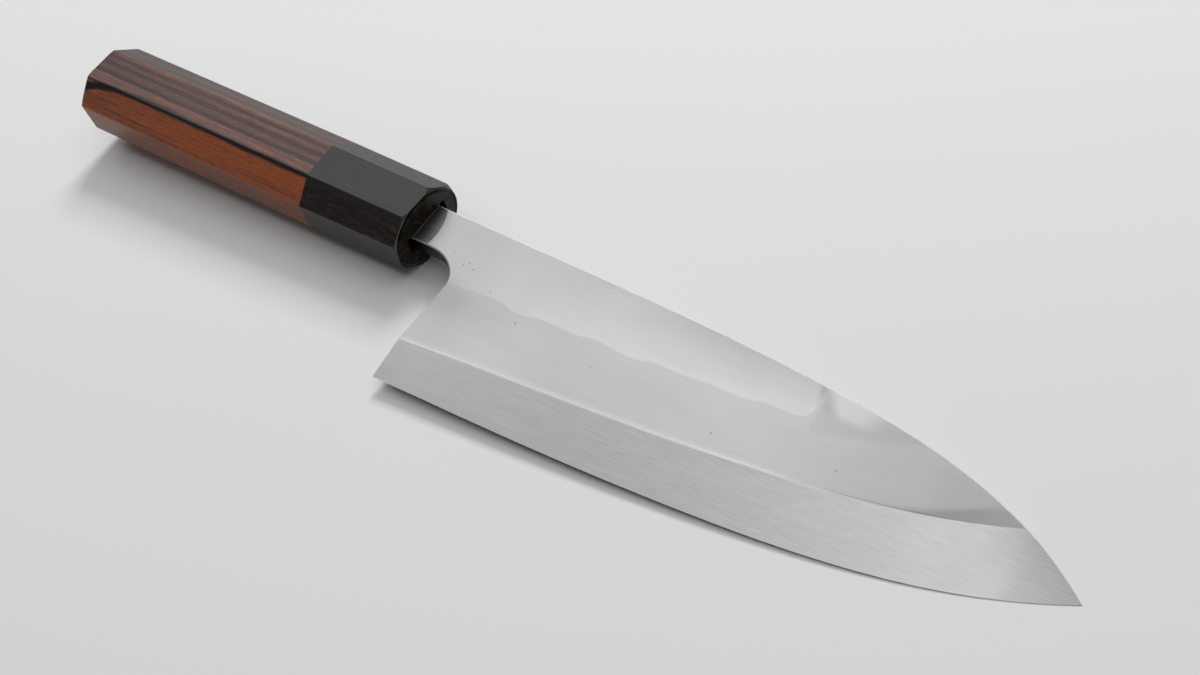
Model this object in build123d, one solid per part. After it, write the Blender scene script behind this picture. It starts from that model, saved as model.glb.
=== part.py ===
from build123d import *
import math
import os

# A single-bevel Japanese deba knife with a hidden tang and an octagonal handle, in millimetres.
# The pieces are built in the knife's own axes: +X from the ferrule's front face to the tip,
# +Y from the edge side to the spine side, +Z out of the bevelled face. The last step lays the
# assembled knife down as it rests on a table, with +Z up.

# Handle and ferrule, with sizes across the facets
handle_length = 144.0
ferrule_length = 40.0
corner_facet_angle = 40.4
butt_width = 30.6
butt_thickness = 26.1
butt_top_flat = 13.6
joint_width = 30.0
joint_thickness = 25.1
joint_top_flat = 13.5
front_width = 28.95
front_thickness = 24.47
front_top_flat = 13.19
butt_edge_radius = 1.6
butt_turned_inset = 1.0
butt_turned_length = 2.2
butt_turned_growth = 4.0
facet_edge_radius = 0.5

# Turned front of the ferrule, whose face leans a little, with a dish inside its rim
front_reach = 0.5
front_skew_angle = 4.6
front_tilt_angle = 1.7
front_margin = 2.0
turned_side_clearance = 0.53
turned_top_clearance = 0.66
turned_shift = 0.45
turned_length = 2.4
turned_growth = 1.5
lowest_corner_inset = 0.1
rim_width = 0.3
dish_depth = 0.35
dish_wall_run = 0.5
dish_floor_radius = 1.0

# Blade in plan
tip_reach = 223.0
tip_drop = 19.8
heel_reach = 15.9
heel_drop = 52.0
heel_line_lean = 3.6
spine_rise = 7.6
neck_drop = 6.7
choil_start = 6.5
choil_turn_inset = 3.4
choil_turn_fall = 2.9
choil_fall = 10.3
bevel_width = 18.8
polish_start_spine = 4.2
polish_start_middle = 6.3
polish_start_edge = 5.5

# The same stations along the blade serve the edge, the ridge and the spine
station_shares = (0, 0.25, 0.5, 0.7, 0.85, 1)
edge_rise_shares = (0, 0.071, 0.191, 0.36, 0.592, 1)
spine_fall_shares = (0, 0, 0.024, 0.133, 0.372, 1)
bevel_width_shares = (0.73, 0.89, 0.952, 0.984, 0.998, 1)
ridge_slant_shares = (0.064, -0.021, -0.101, -0.17, -0.213, -0.266)

# Blade in section
back_drop = 4.4
neck_thickness = 7.2
neck_skin = 0.1
ridge_heel_thickness = 4.1
spine_far_thickness = 3.7
edge_land = 0.25
corner_break = 0.35
break_steps = 8

# Hollow grind of the back, at its own stations
hollow_rim = 3.0
hollow_start = 7.0
hollow_depth = 0.45
hollow_shares = (0, 0.2, 0.45, 0.7, 0.85, 0.94)
hollow_depth_shares = (0.7, 1, 0.95, 0.8, 0.55, 0.2)

# Tang, its slot and what holds it
neck_insertion = 5.0
tang_shoulder = 0.85
tang_end_height = 7.0
tang_end_thickness = 3.2
slot_end_gap = 2.3
slot_side_gap = 0.2
slot_corner_radius = 1.2
bedding_recess = 2.6
web_thickness = 12.0
butt_wall = 32.0
dowel_wall = 8.0
dowel_diameter = 18.0
dowel_fit = 0.1
tang_fit = 0.15

# Where the cutting edge touches the table, and how far a cutting shape overruns what it cuts
belly_contact_share = 0.965
overrun = 5.0


def octagon_corners(width, thickness, top_flat, x):
    """The corners of an octagonal section at x, with its widest flats up and down."""
    corner_run = (width - top_flat) / 2
    corner_rise = corner_run * math.tan(math.radians(corner_facet_angle))
    side_flat = thickness - 2 * corner_rise
    half = [
        (width / 2, side_flat / 2),
        (top_flat / 2, thickness / 2),
        (-top_flat / 2, thickness / 2),
        (-width / 2, side_flat / 2),
    ]
    return [Vector(x, y, z) for y, z in half] + [Vector(x, -y, -z) for y, z in half]


def section_plane(x):
    """A plane across the knife at x, with its local X along the knife's +Y."""
    return Plane(origin=(x, 0, 0), x_dir=(0, 1, 0), z_dir=(1, 0, 0))


def tapered_octagon(rear, front):
    """A flat-sided bar between two octagonal sections."""
    faces = [Face(Wire.make_polygon(rear)), Face(Wire.make_polygon(front))]
    for i in range(len(rear)):
        after = (i + 1) % len(rear)
        faces.append(Face(Wire.make_polygon([rear[i], rear[after], front[after], front[i]])))
    return Solid(Shell(faces))


def eased(bar):
    """The bar with its long corners eased."""
    long_edges = [edge for edge in bar.edges() if abs((edge % 0.5).X) > 0.9]
    return fillet(long_edges, facet_edge_radius)


def joint_corners():
    return octagon_corners(joint_width, joint_thickness, joint_top_flat, -ferrule_length)


def cylinder_along_knife(diameter, start, end):
    """A round bar from x = start towards the butt, to x = end."""
    disc = section_plane(end) * Circle(diameter / 2)
    return extrude(disc, start - end, dir=(1, 0, 0))


def neck_height():
    return spine_rise + neck_drop


def neck_centre():
    """The middle of the neck's section, for a section plane."""
    return Pos((spine_rise - neck_drop) / 2, neck_thickness / 2 - back_drop)


def dowel_end():
    """Where the dowel's bore ends, short of the butt."""
    return butt_wall - handle_length


def tang_block(growth):
    """The tapered tang, or the room for it when it is grown all round."""
    smaller = 2 * (tang_shoulder - growth)
    root = neck_centre() * Rectangle(neck_height() - smaller, neck_thickness - smaller)
    end = Rectangle(tang_end_height + 2 * growth, tang_end_thickness + 2 * growth)
    root_plane = section_plane(-neck_insertion)
    end_plane = section_plane(dowel_end() + dowel_wall - growth)
    return loft([root_plane * root, end_plane * end], ruled=True)


def edge_points():
    """Stations of the cutting edge, from the heel to the tip."""
    run = tip_reach - heel_reach
    rise = heel_drop - tip_drop
    return [
        Vector(heel_reach + run * along, rise * up - heel_drop, edge_land - back_drop)
        for along, up in zip(station_shares, edge_rise_shares)
    ]


def spine_points():
    """Stations of the spine, from the neck to the tip."""
    fall = spine_rise + tip_drop
    return [
        Vector(tip_reach * along, spine_rise - fall * down, edge_land - back_drop)
        for along, down in zip(station_shares, spine_fall_shares)
    ]


def upper_face_plane():
    """The flat upper face. It falls from the spine to the ridge and from the neck to the tip."""
    ridge_heel_y = bevel_width * bevel_width_shares[0] - heel_drop
    neck_top = Vector(0, spine_rise, neck_thickness - back_drop)
    ridge_heel = Vector(heel_reach, ridge_heel_y, ridge_heel_thickness - back_drop)
    far_spine = Vector(tip_reach, spine_rise, spine_far_thickness - back_drop)
    normal = (far_spine - neck_top).cross(neck_top - ridge_heel)
    if normal.Z < 0:
        normal = -normal
    return Plane(origin=neck_top, x_dir=far_spine - neck_top, z_dir=normal)


def height_on_upper_face(x, y):
    face = upper_face_plane()
    reach = Vector(x, y, 0) - face.origin
    return -(reach.X * face.z_dir.X + reach.Y * face.z_dir.Y) / face.z_dir.Z + face.origin.Z


def ridge_points():
    """Stations of the ridge between the upper face and the bevel, which ends beyond the spine."""
    points = []
    for foot, width, slant in zip(edge_points(), bevel_width_shares, ridge_slant_shares):
        x = foot.X + bevel_width * slant
        y = foot.Y + bevel_width * width
        points.append(Vector(x, y, height_on_upper_face(x, y)))
    return points


def station_spline(points):
    return Edge.make_spline(points, parameters=list(station_shares))


def on_back(points):
    return [Vector(point.X, point.Y, -back_drop) for point in points]


def heel_and_choil():
    """The outline on the back plane from the heel, round the choil, to the hidden end of the neck."""
    heel = on_back(edge_points())[0]
    choil_top = Vector(heel_reach + heel_line_lean, -neck_drop - choil_fall, -back_drop)
    choil_turn = Vector(choil_top.X - choil_turn_inset, -neck_drop - choil_turn_fall, -back_drop)
    choil_foot = Vector(choil_start, -neck_drop, -back_drop)
    neck_end = Vector(-neck_insertion, -neck_drop, -back_drop)
    ends = [choil_top - heel, neck_end - choil_foot]
    return [
        Edge.make_line(heel, choil_top),
        Edge.make_spline([choil_top, choil_turn, choil_foot], tangents=ends),
        Edge.make_line(choil_foot, neck_end),
    ]


def neck_and_spine():
    """The outline on the back plane from the hidden end of the neck to the tip."""
    neck_end = Vector(-neck_insertion, spine_rise, -back_drop)
    spine_curve = station_spline(on_back(spine_points()))
    return [Edge.make_line(neck_end, spine_curve @ 0), spine_curve]


def above_bevel():
    """Everything above the bevel, which runs straight from the ridge to the edge."""
    outer = []
    inner = []
    for foot, top in zip(edge_points(), ridge_points()):
        reach = (top - foot) * (overrun / bevel_width)
        outer.append(foot - reach)
        inner.append(top + reach)
    bevel = Face.make_surface_from_curves(station_spline(outer), station_spline(inner))
    return extrude(bevel, 2 * neck_thickness, dir=(0, 0, 1))


def above_upper_face(skin):
    """Everything that lies more than a skin above the upper face."""
    size = 2 * tip_reach
    slab = Box(size, size, size, align=(Align.CENTER, Align.CENTER, Align.MIN))
    return upper_face_plane() * Pos(0, 0, skin) * slab


def ahead_of_neck_skin():
    """The stretch that is polished, which starts at an arc across the root of the neck."""
    start = Edge.make_three_point_arc(
        Vector(polish_start_spine, spine_rise, -back_drop),
        Vector(polish_start_middle, neck_centre().position.X, -back_drop),
        Vector(polish_start_edge, -neck_drop, -back_drop),
    )
    across = Vector(0, heel_drop, 0)
    far = Vector(2 * tip_reach, 0, 0)
    corners = [start @ 1, start @ 1 - across, start @ 1 - across + far]
    corners += [start @ 0 + across + far, start @ 0 + across, start @ 0]
    sides = [Edge.make_line(near, after) for near, after in zip(corners, corners[1:])]
    return extrude(make_face([start] + sides), 2 * neck_thickness, dir=(0, 0, 1))


def above_corner_break(side):
    """Everything above a narrow sloping strip that breaks the upper corner along a side."""
    inner = []
    outer = []
    for step in range(break_steps + 1):
        foot = side @ (step / break_steps)
        inward = (side % (step / break_steps)).cross(Vector(0, 0, 1)) * corner_break
        corner = Vector(foot.X, foot.Y, height_on_upper_face(foot.X, foot.Y))
        slope = inward + Vector(0, 0, corner_break)
        inner.append(corner + inward + slope)
        outer.append(corner - Vector(0, 0, corner_break) - slope)
    strip = Face.make_surface_from_curves(Edge.make_spline(outer), Edge.make_spline(inner))
    return extrude(strip, 2 * neck_thickness, dir=(0, 0, 1))


def hollow_section(edge_side, spine_side, depth):
    """A shallow arc between two points of the back, closed well below it."""
    middle = (edge_side + spine_side) / 2 + Vector(0, 0, depth)
    below = Vector(0, 0, -overrun)
    arc = Edge.make_three_point_arc(edge_side, middle, spine_side)
    return Face(
        Wire(
            [
                arc,
                Edge.make_line(spine_side, spine_side + below),
                Edge.make_line(spine_side + below, edge_side + below),
                Edge.make_line(edge_side + below, edge_side),
            ]
        )
    )


def hollow_back():
    """The hollow grind of the flat back, which leaves a flat rim along edge and spine."""
    edge_curve = station_spline(on_back(edge_points()))
    spine_curve = station_spline(on_back(spine_points()))
    start_share = hollow_start / tip_reach
    sections = []
    for along, depth_share in zip(hollow_shares, hollow_depth_shares):
        edge_side = edge_curve @ along
        spine_side = spine_curve @ (start_share + along * (1 - start_share))
        rim = (spine_side - edge_side).normalized() * hollow_rim
        sections.append(hollow_section(edge_side + rim, spine_side - rim, hollow_depth * depth_share))
    return loft(sections)


def make_blade():
    choil_sides = heel_and_choil()
    spine_sides = neck_and_spine()
    neck_end = Edge.make_line(choil_sides[-1] @ 1, spine_sides[0] @ 0)
    cutting_edge = station_spline(on_back(edge_points()))
    plan = make_face(choil_sides + [neck_end] + spine_sides + [cutting_edge])
    blade = extrude(plan, 2 * neck_thickness, dir=(0, 0, 1)) - above_upper_face(neck_skin)
    blade -= above_upper_face(0) & ahead_of_neck_skin()
    for side in choil_sides + spine_sides:
        blade -= above_corner_break(side)
    return blade - above_bevel() - hollow_back() + tang_block(0)


def tang_slot(start, end):
    """The slot through the front of the ferrule, taller than the neck, its top side along the neck's."""
    low = -neck_drop - slot_end_gap
    high = spine_rise + slot_end_gap
    floor = -back_drop - slot_side_gap
    cover = neck_skin + slot_side_gap
    corners = [
        (low, floor),
        (high, floor),
        (high, height_on_upper_face(0, high) + cover),
        (low, height_on_upper_face(0, low) + cover),
    ]
    outline = fillet(Polygon(*corners, align=None).vertices(), slot_corner_radius)
    return extrude(section_plane(end) * outline, start - end, dir=(1, 0, 0))


def turned_outline(growth):
    """The ellipse that trims the octagon's front corners, grown all round. It lies a little off the middle."""
    wide = front_width / 2 + turned_side_clearance + growth
    high = front_thickness / 2 + turned_top_clearance + growth
    return Pos(-turned_shift, 0) * Ellipse(wide, high)


def turned_end():
    """An elliptical cone with the ferrule's front on it, and room for the rest behind, before it leans."""
    rear_plane = section_plane(-turned_length)
    small = section_plane(0) * turned_outline(0)
    large = rear_plane * turned_outline(turned_growth)
    room = rear_plane * Rectangle(2 * joint_width, 2 * joint_width)
    return loft([small, large], ruled=True) + extrude(room, 2 * ferrule_length, dir=(-1, 0, 0))


def front_dish():
    """A plug that sinks a shallow dish inside the rim, with a rounded foot to its wall."""
    half_width = front_width / 2
    half_thickness = front_thickness / 2
    outer = section_plane(dish_depth) * Ellipse(half_width + dish_wall_run, half_thickness + dish_wall_run)
    floor = section_plane(-dish_depth) * Ellipse(half_width - dish_wall_run, half_thickness - dish_wall_run)
    plug = loft([floor, outer], ruled=True)
    plug = fillet(plug.edges().sort_by(Axis.X)[0], dish_floor_radius)
    width = front_width - 2 * rim_width
    thickness = front_thickness - 2 * rim_width
    rear = octagon_corners(width, thickness, front_top_flat, -overrun)
    front = octagon_corners(width, thickness, front_top_flat, overrun)
    return plug & tapered_octagon(rear, front)


def make_ferrule():
    front = octagon_corners(front_width, front_thickness, front_top_flat, front_margin)
    lean = Pos(front_reach, 0, 0) * Rot(0, -front_tilt_angle, -front_skew_angle)
    body = eased(tapered_octagon(joint_corners(), front)) & lean * turned_end()
    bore = cylinder_along_knife(dowel_diameter, -web_thickness, -ferrule_length - overrun)
    return body - lean * front_dish() - bore - tang_slot(overrun, -web_thickness - overrun)


def turned_butt():
    """An elliptical cone that takes the butt's corners back a little."""
    wide = butt_width / 2 - butt_turned_inset
    high = butt_thickness / 2 - butt_turned_inset
    large = Ellipse(wide + butt_turned_growth, high + butt_turned_growth)
    small = section_plane(-handle_length) * Ellipse(wide, high)
    large = section_plane(butt_turned_length - handle_length) * large
    return loft([small, large], ruled=True) + extrude(large, handle_length, dir=(1, 0, 0))


def make_handle():
    butt = octagon_corners(butt_width, butt_thickness, butt_top_flat, -handle_length)
    bar = tapered_octagon(butt, joint_corners())
    rounded = fillet(bar.faces().sort_by(Axis.X)[0].edges(), butt_edge_radius)
    body = rounded & eased(bar) & turned_butt()
    return body - cylinder_along_knife(dowel_diameter, overrun - ferrule_length, dowel_end())


def make_core_dowel():
    diameter = dowel_diameter - 2 * dowel_fit
    dowel = cylinder_along_knife(diameter, -web_thickness, dowel_end() + dowel_fit)
    return dowel - tang_block(tang_fit)


def make_tang_bedding(blade):
    plug = tang_slot(-bedding_recess, -web_thickness)
    return plug - blade


def table_plane():
    """The plane through the ferrule's lowest corner that touches the belly of the edge."""
    corner = Vector(-lowest_corner_inset, -front_top_flat / 2, -front_thickness / 2)
    edge_curve = station_spline(on_back(edge_points()))
    belly = edge_curve @ belly_contact_share
    along_edge = edge_curve % belly_contact_share
    normal = (belly - corner).cross(along_edge)
    if normal.Z < 0:
        normal = -normal
    return Plane(origin=corner, x_dir=belly - corner, z_dir=normal)


def lay_down(pieces):
    """Lay the knife on the table with the centre of its box over the origin."""
    table = table_plane()
    heading = table.to_local_coords(Vector(tip_reach, 0, 0)) - table.to_local_coords(Vector(0, 0, 0))
    turn = math.degrees(math.atan2(heading.Y, heading.X))
    flat = {name: Rot(0, 0, -turn) * table.to_local_coords(piece) for name, piece in pieces.items()}
    box = Compound(list(flat.values())).bounding_box()
    shift = Pos(-box.center().X, -box.center().Y, -box.min.Z)
    return {name: shift * piece for name, piece in flat.items()}


def main():
    blade = make_blade()
    pieces = {
        "blade": blade,
        "ferrule": make_ferrule(),
        "handle": make_handle(),
        "core_dowel": make_core_dowel(),
        "tang_bedding": make_tang_bedding(blade),
    }
    os.makedirs("parts", exist_ok=True)
    for name, piece in lay_down(pieces).items():
        export_step(piece, f"parts/{name}.step")


main()
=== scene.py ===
import math
from collections import namedtuple

import bpy
from mathutils import Euler, Matrix, Vector

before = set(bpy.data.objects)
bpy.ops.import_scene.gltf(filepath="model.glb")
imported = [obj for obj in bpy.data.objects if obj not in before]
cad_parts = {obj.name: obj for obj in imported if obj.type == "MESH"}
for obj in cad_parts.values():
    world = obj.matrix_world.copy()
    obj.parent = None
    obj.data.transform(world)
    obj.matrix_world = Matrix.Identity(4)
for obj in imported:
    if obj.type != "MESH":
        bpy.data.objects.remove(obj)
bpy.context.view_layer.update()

# The knife's own axes, in which the materials are laid out, in millimetres: x runs from the
# ferrule's front face to the tip, y from the edge side to the spine side, z out of the bevelled face
knife_origin = Vector((-0.03921, 0.01800, 0.01262))
knife_turn = Euler((math.radians(3.674), math.radians(1.787), 0))
millimetre = 0.001

# Camera
camera_place = Vector((0.18052, -0.15645, 0.30685))
camera_aim = Vector((0.03362, 0.00792, 0.00969))
camera_roll = math.radians(-11.895)
camera_clip_start = 0.01
lens_length = 37.2
sensor_width = 36.0

# A wide softbox overhead, which the steel mirrors, and a smaller lamp behind that casts the shadow
softbox_place = Vector((-0.65, 0.32, 1.35))
softbox_size = (3.0, 1.56)
softbox_power = 16.0
back_lamp_place = Vector((-0.35, 1.25, 1.15))
back_lamp_size = (0.5, 0.5)
back_lamp_power = 16.0
sky_strength = 0.12

# Floor
floor_size = 6.0
floor_colour = (0.80, 0.80, 0.80)
floor_bounce = (0.20, 0.20, 0.20)
floor_roughness = 0.9

# Noise made of spots: their sizes along the knife's axes, a seed, how much fine detail they have,
# and how far they are turned in plan. Most of the noise lies inside the range below
Grain = namedtuple("Grain", "length width depth seed detail slant", defaults=(2, 0))
noise_middle = 0.5
noise_range = (0.3, 0.7)

# From here on, a strength is how much lighter or darker a thing makes the surface, and an edge,
# a start or an end is a pair: where the thing begins to come or go, and where it has done so

# Upper face of the blade. Its tone along the blade is partly polish and partly painted reflection that dims
# towards the tip
temper_line = (
    (14, -16.5), (22, -15.3), (31.5, -14.1), (38.8, -13.7), (45.2, -14.9), (52.7, -13.4), (59.8, -13.1),
    (65.9, -13), (72.2, -11.7), (80.4, -12), (86.2, -11.8), (91.3, -10.6), (102.5, -10), (108.6, -9.1),
    (120.3, -8.5), (126.4, -7.1), (136.1, -6.4), (139, -4.5), (140.3, 0), (142.3, 8),
)
ridge_line = (
    (15.9, -38.3), (36, -36.2), (69.4, -33), (101.7, -29.8), (131.7, -25.9), (159.8, -21.6),
    (185.3, -15), (197.5, -11), (206, -6),
)
upper_tone = (
    (0, 1.06), (14, 0.96), (24, 0.92), (40, 0.97), (60, 0.98), (97, 0.99), (119, 1), (142, 0.95),
    (161, 0.88), (174, 0.855), (184, 0.79), (223, 0.76),
)
upper_scratches = Grain(18, 0.22, 1, seed=3)
upper_scratch_strength = 0.11
upper_clouds = Grain(22, 8, 20, seed=5, detail=3)
upper_cloud_strength = 0.1
upper_reflectance = 0.42
upper_roughness = (0.33, 0.38)

# Misty band above the temper line. Its edge follows the clouds a little, and its far end leans
mist_fray = 0.5
mist_edge = (-0.1, 0.75)
mist_strength = (
    (0, 0.02), (24, 0.1), (47, 0.15), (60, 0.19), (72, 0.18), (97, 0.17), (128, 0.15), (141, 0.17),
)
mist_fall = (
    (0, 0.001), (24, 0.002), (47, 0.007), (60, 0.012), (72, 0.012), (97, 0.019), (119, 0.023),
    (141, 0.019), (223, 0.019),
)
band_end_lean = 0.25
band_end = (138.4, 140.4)

# Misty patch by the spine beyond the band, the dark gap that leans between them, and painted shade there
patch_start = (143, 147)
patch_end_lean = -0.4
patch_end = (151, 160)
patch_low_edge = (-3.8, 0)
patch_strength = 0.22
gap_lean = 0.6
gap_middle = 142
gap_edge = (0.3, 2.2)
gap_low_edge = (-3.5, -1)
gap_strength = 0.06
shade_start = (139.8, 142)
shade_lean = -0.37
shade_low_edge = (-64.2, -60.2)
shade_strength = 0.085

# Painted highlight along the ridge, and painted light on the steel above it near the heel
ridge_highlight_strength = ((0, 0.08), (35, 0.12), (60, 0.15), (120, 0.15), (140, 0.1), (157, 0), (223, 0))
ridge_highlight_edge = (0.1, 0.45)
ridge_glow_edge = (0, 2)
ridge_glow_share = 0.75
heel_glow_edge = (2, 17)
heel_glow_end = (40, 75)
heel_glow_strength = 0.12

# Painted shade for a facet by the tip between the ridge and its top line, a fine dark line along its top,
# and the crease along the ridge below it
facet_top_line = (
    (150, -21.5), (160, -20.5), (172.1, -17.6), (177.5, -15.4), (182.8, -12.8), (188.2, -9.8),
    (193.6, -6.6), (205, -1),
)
facet_strength = (
    (0, 0), (150, 0), (158, 0.08), (170, 0.18), (184, 0.2), (190, 0.18), (197, 0.12), (223, 0.1),
)
facet_edge = (-0.3, 1.4)
facet_line_edge = (0, 0.35)
facet_line_start = (168, 176)
facet_line_strength = 0.05
crease_height = 0.2
crease_edge = (0.1, 0.4)
crease_start = (150, 162)
crease_end = (178, 190)
crease_strength = 0.15

# Soft spots on the upper face, whose edges are shares of their half sizes, and small dark pits.
# Both reach so far through the blade that the height hardly counts
Spot = namedtuple("Spot", "place half_size edge strength")
spot_height = 2
spot_half_depth = 100
# A lighter spot on the upper face
lighter_spot = Spot((52, -20.5), (10, 5), (0, 1.3), 0.07)
# Painted shade on the upper face by the choil
choil_shade = Spot((21, -19.5), (11, 8), (0.3, 1.2), 0.1)
pit_edge = (0.5, 1.2)
pit_share = 0.5
pits_and_radii = (
    ((15.4, -4.9), 0.25), ((20.9, -7.7), 0.3), ((22.4, -6.3), 0.3), ((24.7, -7.9), 0.28),
    ((34.3, -12.1), 0.25), ((47.3, -17.9), 0.32), ((75.7, -20), 0.25), ((117.4, -22.3), 0.3),
    ((153.1, -16.3), 0.28),
)

# Bevel, with a painted glint along the ridge, and with painted reflection that tilts from the ridge to the
# edge by the tip
# Tone along the blade, partly finish and partly painted reflection
bevel_tone = (
    (0, 1.3), (20, 1.25), (35, 1.12), (60, 0.98), (85, 0.91), (130, 0.95), (150, 1.02), (170, 1.08),
    (192, 1.2), (200, 1.15), (207, 0.94), (214, 0.86), (223, 0.8),
)
bevel_slant = math.radians(-4)
bevel_scratches = Grain(5, 0.15, 1, seed=1, slant=bevel_slant)
bevel_scratch_strength = 0.55
bevel_scratch_depth = 0.003
bevel_streaks = Grain(20, 0.5, 1, seed=2, detail=4, slant=bevel_slant)
bevel_streak_strength = 0.18
bevel_clouds = Grain(50, 4, 1, seed=4, slant=bevel_slant)
bevel_cloud_strength = 0.1
bevel_reflectance = 0.44
bevel_roughness = (0.35, 0.43)
glint_strength = ((0, 0.5), (16, 0.5), (60, 0.4), (120, 0.3), (150, 0.12), (160, 0), (223, 0))
glint_edge = (0.3, 0.75)
tilt_start = (192, 203)
tilt_reach = (0, 17)
tilt_strengths = (-0.15, 0.14)

# Spine, heel and walls of the choil, with painted shade by the neck
side_lines = Grain(8, 2, 0.1, seed=6, detail=3)
side_line_depth = 0.004
side_reflectance = (0.22, 0.5)
side_roughness = (0.26, 0.4)
side_neck_shade_end = (15, 20)
side_neck_shade_share = 0.17

# Broken corners, made bright as a painted highlight
corner_wear = Grain(4, 4, 4, seed=7, detail=3)
corner_highlight_reflectance = (0.85, 0.98)
corner_roughness = (0.5, 0.6)

# Skin of the neck and the tang, with a painted highlight line where the neck leaves the ferrule
skin_lines = Grain(7, 0.14, 1, seed=8, detail=3)
skin_line_depth = 0.01
skin_line_range = (0.25, 0.75)
skin_line_shares = (0.6, 1.4)
lighter_skin_lean = -0.12
lighter_skin_start = (-0.5, 7.5)
skin_reflectance = (0.065, 0.17)
skin_roughness = (0.36, 0.46)
neck_line_place = 0.4
neck_line_lean = -0.08
neck_line_edge = (0.05, 0.25)
neck_line_strength = 0.3

# Back of the blade: its flat rim, with lines along the blade, and its hollow, with lines across
back_rim_lines = Grain(25, 0.12, 1, seed=11, detail=3)
back_rim_reflectance = (0.44, 0.52)
back_rim_roughness = (0.22, 0.3)
hollow_lines = Grain(0.16, 18, 1, seed=12, detail=3)
hollow_line_depth = 0.004
hollow_reflectance = (0.38, 0.48)
hollow_roughness = (0.34, 0.44)

# Wood: its layers across the knife, as lightness, and its colours from the darkest to the lightest
wood_layers = (
    (-20, 0.9), (-15, 0.94), (-13.2, 0.88), (-12, 0.95), (-8.5, 0.96), (-6.8, 0.72), (-4.8, 0.66),
    (-3.4, 0.7), (-2.1, 0.32), (-0.2, 0.6), (1.9, 0.36), (3.4, 0.66), (4.9, 0.4), (6.4, 0.7),
    (7.4, 0.52), (9.5, 0.28), (11, 0.52), (13, 0.36), (16, 0.6), (20, 0.5),
)
wood_colours = (
    (0, (0.010, 0.008, 0.007)), (0.25, (0.03, 0.015, 0.013)), (0.5, (0.078, 0.04, 0.033)),
    (0.72, (0.155, 0.07, 0.052)), (1, (0.45, 0.115, 0.038)),
)
wood_drift = Grain(70, 14, 14, seed=20)
wood_drift_reach = 1.6
wood_streaks = Grain(40, 0.4, 3, seed=22, detail=5)
wood_streak_strength = 0.8
wood_streak_height_share = 0.4
wood_mottle = Grain(4, 0.6, 1.5, seed=28, detail=4)
wood_mottle_strength = 0.4
wood_roughness = (0.34, 0.42)
# Painted shade towards the butt
butt_shade_end = (-145, -95)
butt_shade_strengths = (-0.06, 0.01)
pores = Grain(3.5, 0.16, 0.16, seed=21, detail=1)
pore_depth = 0.03
pore_edge = (0.3, 0.42)
pore_share = 0.55
pore_colour = (0.012, 0.006, 0.005)
flecks = Grain(1.4, 0.35, 0.35, seed=27, detail=1)
fleck_edge = (0.72, 0.78)
fleck_share = 0.35
fleck_colour = (0.45, 0.24, 0.17)

# Black layer in the wood, between two lines that come closer away from the butt
black_layer_front = (
    (-144, -11.2), (-141, -10.3), (-133, -8.6), (-125, -7.9), (-110, -7.6), (-90, -7.6), (-60, -8),
    (-40, -7.8),
)
black_layer_back = (
    (-144, -8.4), (-141, -7.9), (-136, -7), (-133, -6.7), (-125, -6.1), (-110, -5.6), (-90, -6),
    (-40, -6.1),
)
black_layer_fray = Grain(12, 0.6, 0.6, seed=24, detail=3)
black_layer_fray_reach = 1.2
black_layer_edge = (-0.45, 0.5)
black_layer_colour = (0.010, 0.008, 0.007)

# Horn of the ferrule: brown streaks in black on its sides, and a paler top where they are fainter,
# partly wear and partly painted sheen. The waves move the streaks by up to this many of their own widths
horn_waves = Grain(6, 2.5, 2.5, seed=31, detail=3)
horn_wave_reach = 3
horn_streaks = Grain(5, 0.3, 0.3, seed=30, detail=5)
horn_streak_edge = (0.42, 0.7)
horn_patches = Grain(14, 2.5, 2.5, seed=32)
horn_patch_edge = (0.3, 0.6)
horn_patch_share = 0.35
horn_top_start = (9.5, 12)
horn_top_share = 0.15
horn_wear = Grain(16, 0.25, 0.25, seed=34, detail=4)
horn_scratches = Grain(9, 0.07, 0.07, seed=33)
horn_scratch_depth = 0.006
horn_roughness = (0.3, 0.38)
horn_black = (0.006, 0.006, 0.006)
horn_brown = (0.068, 0.042, 0.027)
horn_wear_and_sheen_dark = (0.012, 0.012, 0.013)
horn_wear_and_sheen_pale = (0.03, 0.03, 0.031)

# Front of the ferrule: fibres that fan out, a painted highlight on its rim, and painted shade in the dish
# inside it.
# The rim is what comes out beyond a leaning plane. The first half size is so great that only the
# other two count
front_plane_place = 0.5
front_lean_across = -0.08
front_lean_up = 0.03
front_half_sizes = (1000, 14.48, 12.24)
fan_spots_per_radian = 6
fan_spots_per_millimetre = 0.12
fan_detail = 5
fan_edge = (0.38, 0.72)
fan_depth = 0.02
front_patches = Grain(6, 5, 5, seed=35)
front_patch_edge = (0.3, 0.65)
front_roughness = (0.4, 0.5)
front_specular = 0.2
front_dark = (0.012, 0.010, 0.008)
front_brown = (0.11, 0.08, 0.045)
rim_highlight_edge = (-0.1, -0.03)
rim_highlight_side_end = (-8, -5.5)
rim_highlight_side_share = 0.1
rim_highlight_low_edge = (-2, 3)
rim_highlight_colour = (0.3, 0.3, 0.28)
# Painted shade in the dish inside the rim
dish_shade_edge = (0.83, 0.93)
dish_shade_low_edge = (1, 8)
dish_shade_side_end = (8, 13)
dish_shade_side_share = 0.2
dish_shade_specular = -0.18
dish_shade_colour = (0.002, 0.002, 0.002)

# Dowel, and bedding of the tang
dowel_grain = Grain(60, 1.5, 1.5, seed=40, detail=4)
dowel_dark = (0.55, 0.4, 0.25)
dowel_light = (0.75, 0.6, 0.42)
dowel_roughness = (0.5, 0.7)
resin_lumps = Grain(1.2, 1.2, 1.2, seed=50, detail=3)
resin_lump_depth = 0.1
resin_colour = (0.008, 0.008, 0.009)
resin_roughness = (0.4, 0.6)

black = (0, 0, 0)
white = (1, 1, 1, 1)
steel_colour = (1, 1, 1.012)

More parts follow.
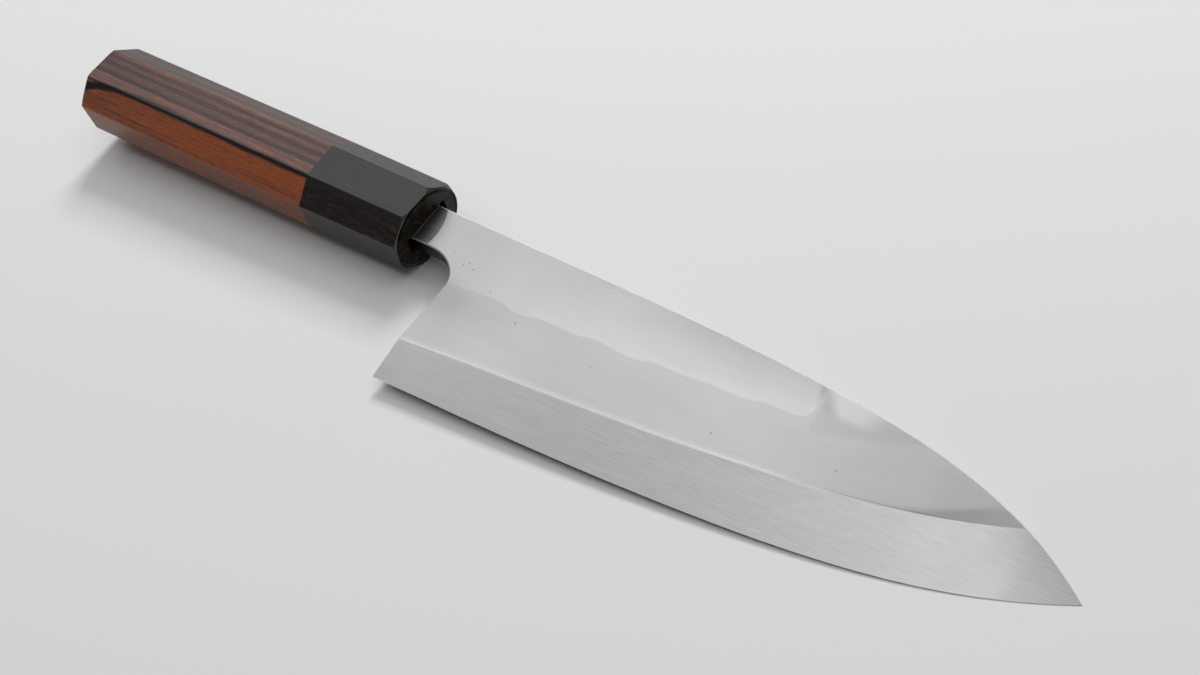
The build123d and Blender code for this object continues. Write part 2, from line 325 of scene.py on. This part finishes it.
# What tells the faces of the blade and of the ferrule apart
upper_face_point = Vector((0, 7.6, 2.8))
upper_face_normal = Vector((0.01569, -0.06171, 0.99797))
upper_face_share = 0.9995
skin_height = 0.05
skin_front = -1.2
back_rim_height = -4.39
flat_down_share = -0.9999
mostly_down_share = -0.9
mostly_up_share = 0.9
corner_up_share = 0.5
edge_outward_share = -0.3
edge_height = -4.1
edge_start = 16.5
front_outward_share = 0.85
front_depth = 2


def colour_mix(tree):
    """A new mix of two colours, as its sockets: the share, both colours and the result."""
    node = tree.nodes.new("ShaderNodeMix")
    node.data_type = "RGBA"
    first, second = (socket for socket in node.inputs if socket.type == "RGBA")
    result = next(socket for socket in node.outputs if socket.type == "RGBA")
    return node.inputs[0], first, second, result


class Surface:
    """A material built of nodes. A value is a number, a colour or another node's output."""

    def __init__(self, name):
        self.material = bpy.data.materials.new(name)
        self.material.use_nodes = True
        self.tree = self.material.node_tree
        self.tree.nodes.clear()
        self.shader = self.node("ShaderNodeBsdfPrincipled")
        output = self.node("ShaderNodeOutputMaterial")
        self.feed(output.inputs["Surface"], self.shader.outputs["BSDF"])
        here = self.node("ShaderNodeTexCoord").outputs["Object"]
        self.place = self.moved(here, "TEXTURE", knife_origin, knife_turn, (millimetre,) * 3)
        split = self.node("ShaderNodeSeparateXYZ")
        self.feed(split.inputs["Vector"], self.place)
        self.x, self.y, self.z = split.outputs

    def node(self, kind):
        return self.tree.nodes.new(kind)

    def feed(self, socket, value):
        if isinstance(value, bpy.types.NodeSocket):
            self.tree.links.new(value, socket)
        elif socket.type == "RGBA":
            socket.default_value = (*value, 1)
        else:
            socket.default_value = value

    def set(self, name, value):
        self.feed(self.shader.inputs[name], value)

    def set_steel(self, reflectance, roughness):
        """Makes the surface steel that reflects this share of the light."""
        self.set("Base Color", self.mix(reflectance, black, steel_colour))
        self.set("Metallic", 1)
        self.set("Roughness", roughness)

    def bumps(self, height, depth):
        """Bumps whose height is a share of this depth in millimetres."""
        node = self.node("ShaderNodeBump")
        self.feed(node.inputs["Distance"], depth * millimetre)
        self.feed(node.inputs["Height"], height)
        self.set("Normal", node.outputs["Normal"])

    def moved(self, place, kind, location=(0, 0, 0), rotation=(0, 0, 0), scale=(1, 1, 1)):
        """The place after this move, or with the kind TEXTURE, as seen from axes moved like this."""
        node = self.node("ShaderNodeMapping")
        node.vector_type = kind
        names = ("Vector", "Location", "Rotation", "Scale")
        for name, given in zip(names, (place, location, rotation, scale)):
            self.feed(node.inputs[name], given)
        return node.outputs["Vector"]

    def join(self, x, y, z):
        node = self.node("ShaderNodeCombineXYZ")
        for socket, value in zip(node.inputs, (x, y, z)):
            self.feed(socket, value)
        return node.outputs["Vector"]

    def place_sum(self, first, second):
        node = self.node("ShaderNodeVectorMath")
        self.feed(node.inputs[0], first)
        self.feed(node.inputs[1], second)
        return node.outputs["Vector"]

    def distance(self, centre, sizes):
        """The distance from a point, with each direction measured in its own size."""
        node = self.node("ShaderNodeVectorMath")
        node.operation = "LENGTH"
        self.feed(node.inputs[0], self.moved(self.place, "TEXTURE", centre, scale=sizes))
        return node.outputs["Value"]

    def from_spot(self, place, half_size):
        """The distance from a place on the upper face, in half sizes."""
        return self.distance((*place, spot_height), (*half_size, spot_half_depth))

    def maths(self, operation, *values):
        node = self.node("ShaderNodeMath")
        node.operation = operation
        for socket, value in zip(node.inputs, values):
            self.feed(socket, value)
        return node.outputs[0]

    def plus(self, first, second):
        return self.maths("ADD", first, second)

    def minus(self, first, second):
        return self.maths("SUBTRACT", first, second)

    def times(self, first, second):
        return self.maths("MULTIPLY", first, second)

    def size_of(self, value):
        return self.maths("ABSOLUTE", value)

    def leaning(self, value, lean, other):
        """The value plus the lean times the other value."""
        return self.maths("MULTIPLY_ADD", other, lean, value)

    def varied(self, value, noise, strength):
        """The value, made more and less by the noise."""
        return self.leaning(value, strength, self.minus(noise, noise_middle))

    def mapped(self, value, edge, results, way="LINEAR"):
        """Goes from the first result to the second while the value crosses the edge."""
        node = self.node("ShaderNodeMapRange")
        node.interpolation_type = way
        names = ("Value", "From Min", "From Max", "To Min", "To Max")
        for name, given in zip(names, (value, *edge, *results)):
            self.feed(node.inputs[name], given)
        return node.outputs["Result"]

    def step(self, value, edge, before, after):
        """Goes smoothly from one number to the other while the value crosses the edge."""
        return self.mapped(value, edge, (before, after), "SMOOTHSTEP")

    def rise(self, value, edge, top=1):
        return self.step(value, edge, 0, top)

    def drop(self, value, edge, top=1):
        return self.step(value, edge, top, 0)

    def spread(self, noise, results):
        """Goes from the first result to the second while the noise goes through its range."""
        return self.mapped(noise, noise_range, results)

    def line(self, value, points):
        """The smooth line through points of (value, result)."""
        values, results = zip(*points)
        start, end = values[0], values[-1]
        low, high = min(results), max(results)
        spots = [((at - start) / (end - start), (result - low) / (high - low)) for at, result in points]
        node = self.node("ShaderNodeFloatCurve")
        curve = node.mapping.curves[0]
        curve.points[0].location = spots[0]
        curve.points[-1].location = spots[-1]
        for spot in spots[1:-1]:
            curve.points.new(*spot)
        node.mapping.update()
        self.feed(node.inputs["Value"], self.mapped(value, (start, end), (0, 1)))
        return self.mapped(node.outputs["Value"], (0, 1), (low, high))

    def ramp(self, share, stops):
        """A colour from a row of (share, colour) stops, of which the first is at 0 and the last at 1."""
        node = self.node("ShaderNodeValToRGB")
        elements = node.color_ramp.elements
        shares, colours = zip(*stops)
        for share_here in shares[1:-1]:
            elements.new(share_here)
        for element, colour in zip(elements, colours):
            element.color = (*colour, 1)
        self.feed(node.inputs["Fac"], share)
        return node.outputs["Color"]

    def mix(self, share, first, second):
        """A colour between two colours."""
        *sockets, result = colour_mix(self.tree)
        for socket, value in zip(sockets, (share, first, second)):
            self.feed(socket, value)
        return result

    def in_spots(self, grain):
        """The shaded place, measured in the grain's spots."""
        turned = self.moved(self.place, "POINT", rotation=(0, 0, grain.slant))
        scale = (1 / grain.length, 1 / grain.width, 1 / grain.depth)
        return self.moved(turned, "POINT", location=(grain.seed,) * 3, scale=scale)

    def noise_at(self, place, detail):
        node = self.node("ShaderNodeTexNoise")
        self.feed(node.inputs["Scale"], 1)
        self.feed(node.inputs["Detail"], detail)
        self.feed(node.inputs["Vector"], place)
        return node.outputs["Fac"]

    def noise(self, grain):
        return self.noise_at(self.in_spots(grain), grain.detail)


def misty_band(steel, clouds):
    """The lighter band above the temper line, and how it darkens towards the spine."""
    above = steel.minus(steel.y, steel.line(steel.x, temper_line))
    mist = steel.rise(steel.leaning(above, mist_fray, clouds), mist_edge)
    end = steel.drop(steel.leaning(steel.x, band_end_lean, steel.y), band_end)
    band = steel.times(steel.times(mist, end), steel.line(steel.x, mist_strength))
    fall = steel.times(steel.maths("MAXIMUM", above, 0), steel.line(steel.x, mist_fall))
    return band, fall


def patch_by_spine(steel):
    """The lighter patch beyond the band, the dark gap between them, and painted shade there."""
    past_gap = steel.leaning(steel.x, gap_lean, steel.y)
    to_end = steel.leaning(steel.x, patch_end_lean, steel.y)
    patch = steel.times(steel.rise(past_gap, patch_start), steel.drop(to_end, patch_end, patch_strength))
    patch = steel.times(patch, steel.rise(steel.y, patch_low_edge))
    off_gap = steel.size_of(steel.minus(past_gap, gap_middle))
    gap = steel.times(steel.drop(off_gap, gap_edge, gap_strength), steel.rise(steel.y, gap_low_edge))
    over_shade = steel.leaning(steel.y, shade_lean, steel.x)
    shade = steel.rise(steel.x, shade_start, shade_strength)
    shade = steel.times(shade, steel.rise(over_shade, shade_low_edge))
    return patch, gap, shade


def ridge_lights(steel, over_ridge):
    """Painted highlight along the ridge, and painted light on the steel above it near the heel."""
    glow = steel.drop(over_ridge, ridge_glow_edge, ridge_glow_share)
    glow = steel.plus(glow, steel.drop(over_ridge, ridge_highlight_edge))
    ridge_highlight = steel.times(glow, steel.line(steel.x, ridge_highlight_strength))
    heel_glow = steel.drop(steel.x, heel_glow_end, heel_glow_strength)
    return ridge_highlight, steel.times(steel.drop(over_ridge, heel_glow_edge), heel_glow)


def facet_by_tip(steel, over_ridge):
    """Painted shade: the darker facet, the fine dark line along its top, and the crease along the ridge
    below it.
    """
    under_top = steel.minus(steel.line(steel.x, facet_top_line), steel.y)
    facet = steel.times(steel.rise(under_top, facet_edge), steel.line(steel.x, facet_strength))
    top_line = steel.drop(steel.size_of(under_top), facet_line_edge)
    top_line = steel.times(top_line, steel.rise(steel.x, facet_line_start, facet_line_strength))
    crease = steel.drop(steel.size_of(steel.minus(over_ridge, crease_height)), crease_edge)
    crease = steel.times(crease, steel.rise(steel.x, crease_start, crease_strength))
    crease = steel.times(crease, steel.drop(steel.x, crease_end))
    return facet, top_line, crease


def soft_spot(steel, spot):
    return steel.drop(steel.from_spot(spot.place, spot.half_size), spot.edge, spot.strength)


def upper_steel():
    """The flat above the ridge."""
    steel = Surface("upper_steel")
    scratches = steel.noise(upper_scratches)
    clouds = steel.noise(upper_clouds)
    over_ridge = steel.minus(steel.y, steel.line(steel.x, ridge_line))
    band, fall = misty_band(steel, clouds)
    patch, gap, shade = patch_by_spine(steel)
    # Tone along the blade, partly polish and partly painted reflection
    tone = steel.line(steel.x, upper_tone)
    for lighter in (band, patch, *ridge_lights(steel, over_ridge), soft_spot(steel, lighter_spot)):
        tone = steel.plus(tone, lighter)
    for darker in (fall, gap, shade, soft_spot(steel, choil_shade), *facet_by_tip(steel, over_ridge)):
        tone = steel.minus(tone, darker)
    tone = steel.varied(tone, scratches, upper_scratch_strength)
    tone = steel.varied(tone, clouds, upper_cloud_strength)
    for place, radius in pits_and_radii:
        off_pit = steel.from_spot(place, (radius, radius))
        tone = steel.times(tone, steel.step(off_pit, pit_edge, pit_share, 1))
    steel.set_steel(steel.times(tone, upper_reflectance), steel.spread(scratches, upper_roughness))
    return steel.material


def bevel_steel():
    """The bevel, ground with scratches that run nearly along the edge."""
    steel = Surface("bevel_steel")
    scratches = steel.noise(bevel_scratches)
    under_ridge = steel.minus(steel.line(steel.x, ridge_line), steel.y)
    glint = steel.times(steel.drop(under_ridge, glint_edge), steel.line(steel.x, glint_strength))
    tone = steel.plus(steel.line(steel.x, bevel_tone), glint)
    # Painted reflection by the tip, lighter towards the edge
    tilt = steel.mapped(under_ridge, tilt_reach, tilt_strengths)
    tone = steel.leaning(tone, tilt, steel.rise(steel.x, tilt_start))
    tone = steel.varied(tone, scratches, bevel_scratch_strength)
    tone = steel.varied(tone, steel.noise(bevel_streaks), bevel_streak_strength)
    tone = steel.varied(tone, steel.noise(bevel_clouds), bevel_cloud_strength)
    steel.set_steel(steel.times(tone, bevel_reflectance), steel.spread(scratches, bevel_roughness))
    steel.bumps(scratches, bevel_scratch_depth)
    return steel.material


def side_steel():
    """The spine, the heel and the walls of the choil."""
    steel = Surface("side_steel")
    lines = steel.noise(side_lines)
    reflectance = steel.spread(lines, side_reflectance)
    # Painted shade by the neck
    reflectance = steel.times(reflectance, steel.step(steel.x, side_neck_shade_end, side_neck_shade_share, 1))
    steel.set_steel(reflectance, steel.spread(lines, side_roughness))
    steel.bumps(lines, side_line_depth)
    return steel.material


def corner_steel():
    """The broken corners, made bright as a painted highlight."""
    steel = Surface("corner_steel")
    wear = steel.noise(corner_wear)
    steel.set_steel(steel.spread(wear, corner_highlight_reflectance), steel.spread(wear, corner_roughness))
    return steel.material


def forged_skin():
    """The dark skin of the neck and tang, lighter towards the polished blade."""
    steel = Surface("forged_skin")
    lines = steel.noise(skin_lines)
    forward = steel.leaning(steel.x, lighter_skin_lean, steel.y)
    reflectance = steel.step(forward, lighter_skin_start, *skin_reflectance)
    reflectance = steel.times(reflectance, steel.mapped(lines, skin_line_range, skin_line_shares))
    # Painted highlight line where the neck leaves the ferrule
    off_line = steel.leaning(steel.minus(steel.x, neck_line_place), neck_line_lean, steel.y)
    neck_highlight = steel.drop(steel.size_of(off_line), neck_line_edge, neck_line_strength)
    steel.set_steel(steel.plus(reflectance, neck_highlight), steel.spread(lines, skin_roughness))
    steel.bumps(lines, skin_line_depth)
    return steel.material


def back_rim_steel():
    """The flat rim round the hollow of the back, polished on a stone."""
    steel = Surface("back_rim_steel")
    lines = steel.noise(back_rim_lines)
    steel.set_steel(steel.spread(lines, back_rim_reflectance), steel.spread(lines, back_rim_roughness))
    return steel.material


def hollow_steel():
    """The hollow of the back, ground across the blade."""
    steel = Surface("hollow_steel")
    lines = steel.noise(hollow_lines)
    steel.set_steel(steel.spread(lines, hollow_reflectance), steel.spread(lines, hollow_roughness))
    steel.bumps(lines, hollow_line_depth)
    return steel.material


def layered_lightness(wood, streaks):
    """How light the wood is: layers that drift a little, streaks along them, mottle, and painted shade at
    the butt.
    """
    across = wood.varied(wood.y, wood.noise(wood_drift), wood_drift_reach)
    lightness = wood.line(across, wood_layers)
    lightness = wood.varied(lightness, streaks, wood_streak_strength)
    lightness = wood.plus(lightness, wood.step(wood.x, butt_shade_end, *butt_shade_strengths))
    return wood.varied(lightness, wood.noise(wood_mottle), wood_mottle_strength)


def black_layer(wood):
    """The black layer along the top front corner of the handle, with frayed edges."""
    behind_front = wood.minus(wood.y, wood.line(wood.x, black_layer_front))
    before_back = wood.minus(wood.line(wood.x, black_layer_back), wood.y)
    inside = wood.maths("MINIMUM", behind_front, before_back)
    inside = wood.varied(inside, wood.noise(black_layer_fray), black_layer_fray_reach)
    return wood.rise(inside, black_layer_edge)


def striped_wood():
    """Red-brown heartwood in layers across the knife, with dark pores and light flecks."""
    wood = Surface("striped_wood")
    streaks = wood.noise(wood_streaks)
    pore_noise = wood.noise(pores)
    colour = wood.ramp(layered_lightness(wood, streaks), wood_colours)
    colour = wood.mix(black_layer(wood), colour, black_layer_colour)
    colour = wood.mix(wood.rise(wood.noise(flecks), fleck_edge, fleck_share), colour, fleck_colour)
    colour = wood.mix(wood.step(pore_noise, pore_edge, pore_share, 1), pore_colour, colour)
    wood.set("Base Color", colour)
    wood.set("Roughness", wood.spread(streaks, wood_roughness))
    wood.bumps(wood.leaning(pore_noise, wood_streak_height_share, streaks), pore_depth)
    return wood.material


def dark_horn():
    """The sides of the ferrule, with fine scratches along it."""
    horn = Surface("dark_horn")
    waves = horn.times(horn.noise(horn_waves), horn_wave_reach)
    wavy_place = horn.place_sum(horn.in_spots(horn_streaks), horn.join(0, waves, waves))
    streaks = horn.rise(horn.noise_at(wavy_place, horn_streaks.detail), horn_streak_edge)
    patches = horn.step(horn.noise(horn_patches), horn_patch_edge, horn_patch_share, 1)
    off_top = horn.step(horn.z, horn_top_start, 1, horn_top_share)
    # Paler top, partly wear and partly painted sheen
    wear_and_sheen = horn.mix(horn.rise(horn.noise(horn_wear), noise_range), horn_wear_and_sheen_dark, horn_wear_and_sheen_pale)
    ground = horn.mix(off_top, wear_and_sheen, horn_black)
    brown = horn.times(horn.times(streaks, patches), off_top)
    scratches = horn.noise(horn_scratches)
    horn.set("Base Color", horn.mix(brown, ground, horn_brown))
    horn.set("Roughness", horn.spread(scratches, horn_roughness))
    horn.bumps(scratches, horn_scratch_depth)
    return horn.material


def fanned_fibres(horn):
    """Noise in rays from the middle line of the handle."""
    turn = horn.maths("ARCTAN2", horn.z, horn.y)
    radius = horn.maths("SQRT", horn.leaning(horn.times(horn.z, horn.z), horn.y, horn.y))
    along_turn = horn.times(turn, fan_spots_per_radian)
    return horn.noise_at(horn.join(along_turn, horn.times(radius, fan_spots_per_millimetre), 0), fan_detail)


def rim_and_dish_shade(horn):
    """Painted highlight on the rim, which comes out furthest, and painted shade in the dish, both near the
    top.
    """
    out = horn.leaning(horn.minus(horn.x, front_plane_place), front_lean_up, horn.z)
    out = horn.leaning(out, front_lean_across, horn.y)
    rim = horn.times(horn.rise(out, rim_highlight_edge), horn.rise(horn.z, rim_highlight_low_edge))
    rim = horn.times(rim, horn.step(horn.y, rim_highlight_side_end, 1, rim_highlight_side_share))
    # Painted shade in the dish, darker and with less reflection
    shade = horn.rise(horn.distance((0, 0, 0), front_half_sizes), dish_shade_edge)
    shade = horn.times(shade, horn.drop(out, rim_highlight_edge))
    shade = horn.times(shade, horn.rise(horn.z, dish_shade_low_edge))
    shade = horn.times(shade, horn.step(horn.y, dish_shade_side_end, 1, dish_shade_side_share))
    return rim, shade


def horn_front():
    """The dished front of the ferrule, where the fibres of the horn fan out from the middle."""
    horn = Surface("horn_front")
    fibres = fanned_fibres(horn)
    rim, shade = rim_and_dish_shade(horn)
    patches = horn.rise(horn.noise(front_patches), front_patch_edge)
    colour = horn.mix(horn.times(horn.rise(fibres, fan_edge), patches), front_dark, front_brown)
    colour = horn.mix(rim, colour, rim_highlight_colour)
    horn.set("Base Color", horn.mix(shade, colour, dish_shade_colour))
    horn.set("Roughness", horn.spread(fibres, front_roughness))
    horn.set("Specular IOR Level", horn.leaning(front_specular, dish_shade_specular, shade))
    horn.bumps(fibres, fan_depth)
    return horn.material


def dowel_wood():
    """The plain dowel inside, which shows only in a section."""
    wood = Surface("dowel_wood")
    grain = wood.noise(dowel_grain)
    wood.set("Base Color", wood.mix(grain, dowel_dark, dowel_light))
    wood.set("Roughness", wood.mapped(grain, (0, 1), dowel_roughness))
    return wood.material


def bedding_resin():
    """The black resin at the bottom of the slot's ends."""
    resin = Surface("bedding_resin")
    lumps = resin.noise(resin_lumps)
    resin.set("Base Color", resin_colour)
    resin.set("Roughness", resin.spread(lumps, resin_roughness))
    resin.bumps(lumps, resin_lump_depth)
    return resin.material


def blade_finish(centre, normal):
    """Which finish a face of the blade has."""
    if centre.x < skin_front:
        return "forged_skin"
    if normal.z < flat_down_share and centre.z < back_rim_height:
        return "back_rim_steel"
    if normal.z < mostly_down_share:
        return "hollow_steel"
    if normal.dot(upper_face_normal) > upper_face_share:
        height = (centre - upper_face_point).dot(upper_face_normal)
        return "forged_skin" if height > skin_height else "upper_steel"
    if normal.z > mostly_up_share:
        return "bevel_steel"
    on_edge = normal.y < edge_outward_share and centre.z < edge_height and centre.x > edge_start
    return "corner_steel" if normal.z > corner_up_share or on_edge else "side_steel"


def ferrule_finish(centre, normal):
    """Horn with its fibres on end where the face looks forward, and along the knife elsewhere."""
    forward = normal.x > front_outward_share and centre.x > -front_depth
    return "horn_front" if forward else "dark_horn"


def finish_node(name, *materials):
    """Gives a node these materials in place of its own, and returns its mesh."""
    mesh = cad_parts[name].data
    mesh.materials.clear()
    for material in materials:
        mesh.materials.append(material)
    return mesh


def finish_faces(mesh, finish_of):
    """Gives each face the material that is named for its centre and normal in the knife's axes."""
    names = [material.name for material in mesh.materials]
    turn = knife_turn.to_matrix().inverted()
    for face in mesh.polygons:
        centre = (turn @ (face.center - knife_origin)) / millimetre
        face.material_index = names.index(finish_of(centre, turn @ face.normal))


def floor_material():
    """Pale where it is seen, straight or in a reflection, and greyer in the light it throws back."""
    material = bpy.data.materials.new("floor")
    material.use_nodes = True
    tree = material.node_tree
    shader = tree.nodes["Principled BSDF"]
    shader.inputs["Roughness"].default_value = floor_roughness
    path = tree.nodes.new("ShaderNodeLightPath")
    seen = path.outputs["Is Camera Ray"]
    for name in ("Is Glossy Ray", "Is Transmission Ray"):
        either = tree.nodes.new("ShaderNodeMath")
        either.operation = "MAXIMUM"
        tree.links.new(seen, either.inputs[0])
        tree.links.new(path.outputs[name], either.inputs[1])
        seen = either.outputs[0]
    share, unseen_colour, seen_colour, result = colour_mix(tree)
    tree.links.new(seen, share)
    unseen_colour.default_value = (*floor_bounce, 1)
    seen_colour.default_value = (*floor_colour, 1)
    tree.links.new(result, shader.inputs["Base Color"])
    return material


def add_floor():
    half = floor_size / 2
    corners = [(-half, -half, 0), (half, -half, 0), (half, half, 0), (-half, half, 0)]
    mesh = bpy.data.meshes.new("floor")
    mesh.from_pydata(corners, [], [(0, 1, 2, 3)])
    mesh.materials.append(floor_material())
    floor = bpy.data.objects.new("floor", mesh)
    bpy.context.scene.collection.objects.link(floor)


def add_lamp(name, place, turn, size, power):
    lamp = bpy.data.lights.new(name, "AREA")
    lamp.shape = "RECTANGLE"
    lamp.size, lamp.size_y = size
    lamp.energy = power
    holder = bpy.data.objects.new(name, lamp)
    holder.location = place
    holder.rotation_euler = turn
    bpy.context.scene.collection.objects.link(holder)


def add_lamps():
    """The softbox looks straight down, and the lamp behind looks at the knife."""
    to_knife = (-back_lamp_place).to_track_quat("-Z", "Y").to_euler()
    add_lamp("softbox", softbox_place, Euler(), softbox_size, softbox_power)
    add_lamp("back_lamp", back_lamp_place, to_knife, back_lamp_size, back_lamp_power)


def add_sky():
    world = bpy.data.worlds.new("sky")
    world.use_nodes = True
    background = world.node_tree.nodes["Background"]
    background.inputs["Strength"].default_value = sky_strength
    background.inputs["Color"].default_value = white
    bpy.context.scene.world = world


def add_camera():
    lens = bpy.data.cameras.new("camera")
    lens.sensor_width = sensor_width
    lens.lens = lens_length
    lens.clip_start = camera_clip_start
    camera = bpy.data.objects.new("camera", lens)
    back = (camera_place - camera_aim).normalized()
    level_right = Vector((0, 0, 1)).cross(back).normalized()
    right = Matrix.Rotation(camera_roll, 3, back) @ level_right
    axes = Matrix((right, back.cross(right), back)).transposed()
    camera.matrix_world = Matrix.Translation(camera_place) @ axes.to_4x4()
    bpy.context.scene.collection.objects.link(camera)
    bpy.context.scene.camera = camera


blade = finish_node(
    "blade", upper_steel(), bevel_steel(), side_steel(), corner_steel(), forged_skin(), back_rim_steel(),
    hollow_steel(),
)
finish_faces(blade, blade_finish)
ferrule = finish_node("ferrule", dark_horn(), horn_front())
finish_faces(ferrule, ferrule_finish)
finish_node("handle", striped_wood())
finish_node("core_dowel", dowel_wood())
finish_node("tang_bedding", bedding_resin())
add_floor()
add_lamps()
add_sky()
add_camera()
bpy.context.scene.view_settings.view_transform = "Standard"
